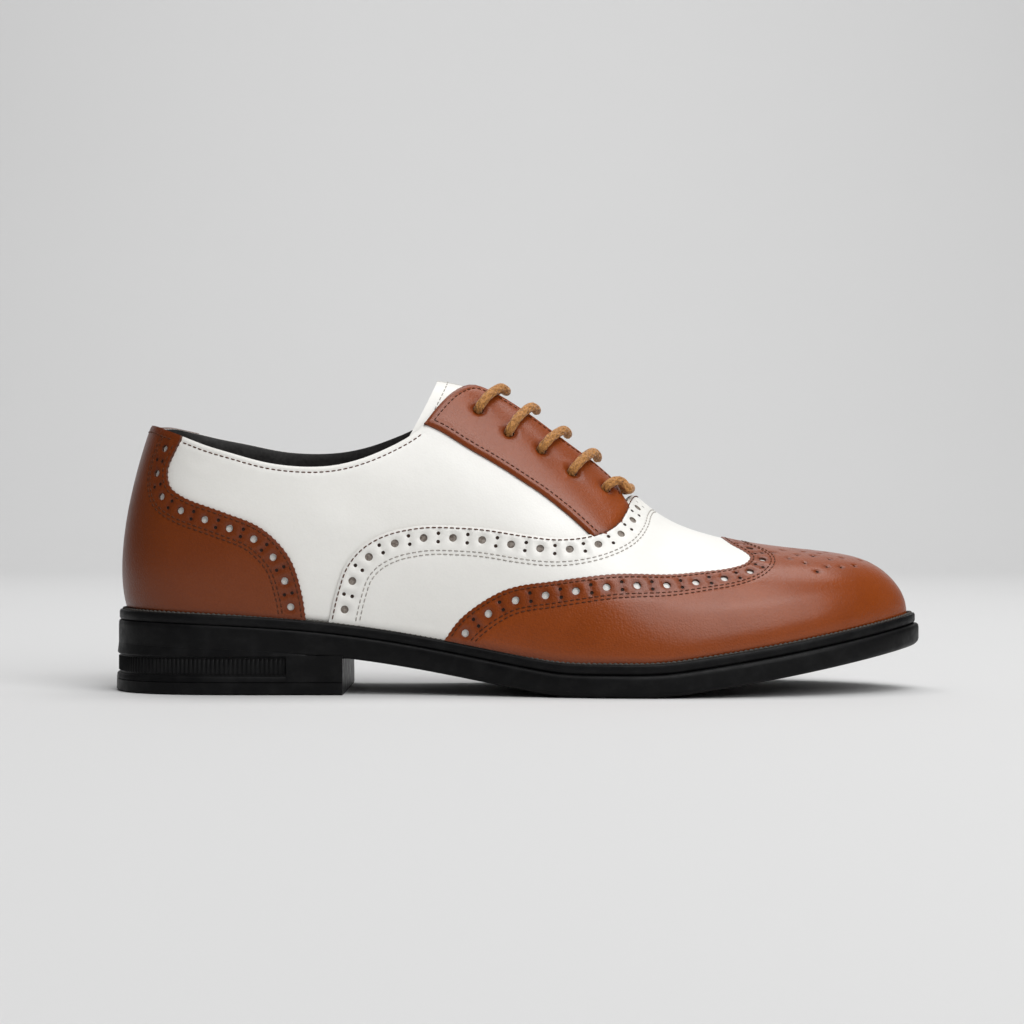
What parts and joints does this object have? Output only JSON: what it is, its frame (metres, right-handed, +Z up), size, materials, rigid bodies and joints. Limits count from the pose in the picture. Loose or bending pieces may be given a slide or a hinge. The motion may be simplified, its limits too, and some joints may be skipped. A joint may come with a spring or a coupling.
{
  "type": "lace-up spectator shoe",
  "caption": "Two-tone leather lace-up dress shoe for the right foot, with wing cap, heel counter, eyelet facings, tongue, welt, outsole and ribbed heel block.",
  "frame": {"origin": "on the floor under the middle of the shoe's footprint box", "axes": "+X to the toe, +Y to the inner (medial) side of the right foot, +Z up"},
  "size_m": [0.302, 0.1044, 0.1162],
  "materials": {
    "sole": "satin black rubber",
    "welt": "black waxed edge",
    "insole": "black lining leather, matt",
    "white_leather": "smooth full-grain leather, semi-matt",
    "tan_leather": "fine-grain burnished leather, polished",
    "lace": "round braided cord"
  },
  "bodies": {
    "root": {"outsole": "sole", "heel": "sole", "welt": "welt", "insole": "insole", "upper": "white_leather", "vamp": "white_leather", "tongue": "white_leather", "wing_cap": "tan_leather", "heel_counter": "tan_leather", "facing_lateral": "tan_leather", "facing_medial": "tan_leather", "lace_bar_1": "lace", "lace_bar_2": "lace", "lace_bar_3": "lace", "lace_bar_4": "lace", "lace_bar_5": "lace"}
  },
  "joints": []
}
